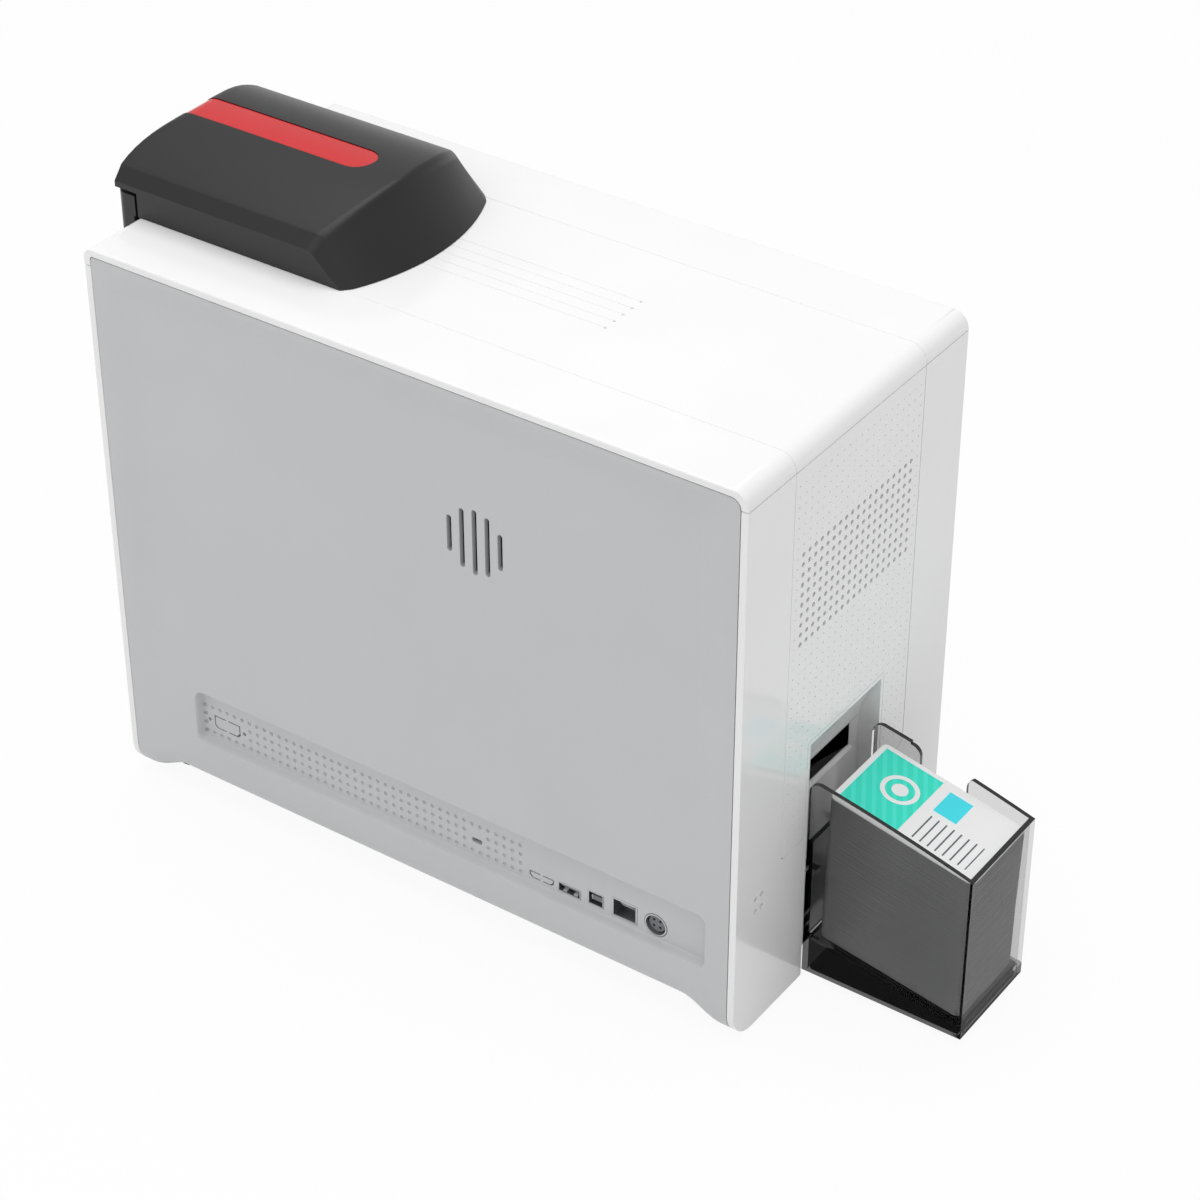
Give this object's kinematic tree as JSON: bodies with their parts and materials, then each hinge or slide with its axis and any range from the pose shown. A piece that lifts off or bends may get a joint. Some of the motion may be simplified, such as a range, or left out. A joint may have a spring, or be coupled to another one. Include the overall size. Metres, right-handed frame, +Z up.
{
  "type": "id card printer",
  "caption": "Tall narrow card printer with a sliding feeder hood on top, a hinged side door, a vented end and a clear card hopper hooked into a niche.",
  "frame": {"origin": "middle of the overall box, on the plane of the rubber feet", "axes": "+X from the feeder end to the hopper end, +Y from the socket side to the door side, +Z up"},
  "size_m": [0.513, 0.202, 0.3785],
  "materials": {
    "shell_white": "gloss white moulded shell",
    "panel_grey": "satin light grey",
    "hood_black": "satin black",
    "window_red": "clear red",
    "seal_red": "dark red",
    "hopper_clear": "clear smoked, moulded",
    "magazine_red": "dark red moulded",
    "card_white": "white cards",
    "card_print": "printed card",
    "card_edge": "cards seen on edge",
    "rubber": "black rubber",
    "roller_rubber": "ground rubber roller",
    "cleaner": "tacky blue sleeve",
    "steel": "zinc plated",
    "aluminium": "machined",
    "plastic_dark": "dark grey moulded",
    "plastic_button": "button plastic",
    "gear": "natural acetal",
    "brass": "turned brass",
    "ribbon": "ribbon film",
    "head": "head substrate on heat sink",
    "board": "green circuit board",
    "light": "light pipes",
    "display": "display glass"
  },
  "bodies": {
    "housing": {"base_pan": "panel_grey", "rubber_feet": "rubber", "base_screws": "steel", "top_shell": "shell_white", "feed_end_shell": "shell_white", "exit_end_shell": "shell_white", "vent_panel": "shell_white", "exit_niche": "shell_white", "rear_panel": "panel_grey", "usb_a_port": "steel", "usb_b_port": "steel", "lan_port": "steel", "power_inlet": "plastic_dark", "hinge_pins": "steel", "feeder_nose": "hood_black", "nose_seal": "seal_red", "card_magazine": "magazine_red", "blank_cards": "card_white", "frame_rear": "steel", "frame_front": "steel", "tie_bars": "steel", "card_guides": "plastic_dark", "turner_motor": "steel", "head_shaft": "steel", "ribbon_web": "ribbon", "drive_motor": "steel", "timing_belt": "rubber", "fan_frames": "plastic_dark", "main_board": "board"},
    "door": {"front_door": "panel_grey", "display_module": "display", "status_lights": "light"},
    "power_button": {"power_button": "plastic_button"},
    "up_button": {"up_button": "plastic_button"},
    "down_button": {"down_button": "plastic_button"},
    "select_button": {"select_button": "plastic_button"},
    "latch": {"door_latch": "plastic_button"},
    "hopper": {"hopper_tray": "hopper_clear", "card_stack": "card_edge", "top_card": "card_print"},
    "hood": {"feeder_hood": "hood_black", "hood_window": "window_red"},
    "weight": {"card_weight": "plastic_dark"},
    "feed_roller": {"feed_roller": "roller_rubber"},
    "cleaning_roller": {"cleaning_roller": "cleaner"},
    "inlet_roller": {"inlet_roller": "roller_rubber"},
    "inlet_pinch": {"inlet_pinch": "aluminium"},
    "platen": {"platen_roller": "roller_rubber", "drive_gear": "gear"},
    "outlet_roller": {"outlet_roller": "roller_rubber"},
    "outlet_pinch": {"outlet_pinch": "aluminium"},
    "turner": {"card_turner": "aluminium"},
    "exit_roller": {"exit_roller": "roller_rubber"},
    "head": {"head_arm": "steel", "print_head": "head"},
    "ribbon_supply": {"ribbon_supply": "ribbon"},
    "ribbon_takeup": {"ribbon_takeup": "ribbon"},
    "pinion": {"motor_pinion": "brass"},
    "fan_a": {"fan_impeller_a": "plastic_dark"},
    "fan_b": {"fan_impeller_b": "plastic_dark"}
  },
  "joints": [
    {"name": "door_hinge", "type": "hinge", "parent": "housing", "child": "door", "pos_m": [0.154, 0.0977, 0.183], "axis": [0, 0, -1], "range_deg": [0, 90]},
    {"name": "power_press", "type": "slide", "parent": "door", "child": "power_button", "axis": [0, -1, 0], "range_m": [0, 0.001], "stiffness_N_per_m": 220, "springref_m": -0.0005},
    {"name": "up_press", "type": "slide", "parent": "door", "child": "up_button", "axis": [0, -1, 0], "range_m": [0, 0.001], "stiffness_N_per_m": 220, "springref_m": -0.0005},
    {"name": "down_press", "type": "slide", "parent": "door", "child": "down_button", "axis": [0, -1, 0], "range_m": [0, 0.001], "stiffness_N_per_m": 220, "springref_m": -0.0005},
    {"name": "select_press", "type": "slide", "parent": "door", "child": "select_button", "axis": [0, -1, 0], "range_m": [0, 0.001], "stiffness_N_per_m": 220, "springref_m": -0.0005},
    {"name": "latch_press", "type": "slide", "parent": "door", "child": "latch", "axis": [0, -1, 0], "range_m": [0, 0.002], "stiffness_N_per_m": 260, "springref_m": -0.0005},
    {"name": "hopper_pull", "type": "slide", "parent": "housing", "child": "hopper", "axis": [1, 0, 0], "range_m": [0, 0.06]},
    {"name": "hood_slide", "type": "slide", "parent": "housing", "child": "hood", "axis": [1, 0, 0], "range_m": [0, 0.11]},
    {"name": "weight_lift", "type": "slide", "parent": "housing", "child": "weight", "axis": [0, 0, 1], "range_m": [0, 0.02]},
    {"name": "platen_spin", "type": "hinge", "parent": "housing", "child": "platen", "pos_m": [-0.0397, -0.001, 0.1094], "axis": [0, 1, 0], "continuous": true},
    {"name": "feed_roller_spin", "type": "hinge", "parent": "housing", "child": "feed_roller", "pos_m": [-0.1677, -0.001, 0.1094], "axis": [0, 1, 0], "continuous": true},
    {"name": "inlet_roller_spin", "type": "hinge", "parent": "housing", "child": "inlet_roller", "pos_m": [-0.1037, -0.001, 0.1094], "axis": [0, 1, 0], "continuous": true},
    {"name": "outlet_roller_spin", "type": "hinge", "parent": "housing", "child": "outlet_roller", "pos_m": [0.0163, -0.001, 0.1094], "axis": [0, 1, 0], "continuous": true},
    {"name": "exit_roller_spin", "type": "hinge", "parent": "housing", "child": "exit_roller", "pos_m": [0.1346, -0.001, 0.1094], "axis": [0, 1, 0], "continuous": true},
    {"name": "pinion_spin", "type": "hinge", "parent": "housing", "child": "pinion", "pos_m": [-0.0397, -0.001, 0.0774], "axis": [0, 1, 0], "continuous": true},
    {"name": "cleaning_roller_spin", "type": "hinge", "parent": "housing", "child": "cleaning_roller", "pos_m": [-0.1287, -0.001, 0.12776], "axis": [0, 1, 0], "continuous": true},
    {"name": "inlet_pinch_spin", "type": "hinge", "parent": "housing", "child": "inlet_pinch", "pos_m": [-0.1037, -0.001, 0.12476], "axis": [0, 1, 0], "continuous": true},
    {"name": "outlet_pinch_spin", "type": "hinge", "parent": "housing", "child": "outlet_pinch", "pos_m": [0.0163, -0.001, 0.12476], "axis": [0, 1, 0], "continuous": true},
    {"name": "turner_spin", "type": "hinge", "parent": "housing", "child": "turner", "pos_m": [0.0786, -0.001, 0.11808], "axis": [0, 1, 0], "continuous": true},
    {"name": "head_lift", "type": "hinge", "parent": "housing", "child": "head", "pos_m": [0.0243, -0.001, 0.1727], "axis": [0, 1, 0], "range_deg": [0, 25]},
    {"name": "ribbon_supply_spin", "type": "hinge", "parent": "housing", "child": "ribbon_supply", "pos_m": [-0.1037, -0.001, 0.2177], "axis": [0, 1, 0], "continuous": true},
    {"name": "ribbon_takeup_spin", "type": "hinge", "parent": "housing", "child": "ribbon_takeup", "pos_m": [0.0023, -0.001, 0.2177], "axis": [0, 1, 0], "continuous": true},
    {"name": "fan_a_spin", "type": "hinge", "parent": "housing", "child": "fan_a", "pos_m": [0.1483, -0.0255, 0.25263], "axis": [1, 0, 0], "continuous": true},
    {"name": "fan_b_spin", "type": "hinge", "parent": "housing", "child": "fan_b", "pos_m": [0.1483, 0.0255, 0.25263], "axis": [1, 0, 0], "continuous": true}
  ],
  "couplings": [
    {"joint": "feed_roller_spin", "follows": "platen_spin", "ratio": 1},
    {"joint": "inlet_roller_spin", "follows": "platen_spin", "ratio": 1},
    {"joint": "outlet_roller_spin", "follows": "platen_spin", "ratio": 1},
    {"joint": "exit_roller_spin", "follows": "platen_spin", "ratio": 1},
    {"joint": "pinion_spin", "follows": "platen_spin", "ratio": -3}
  ]
}
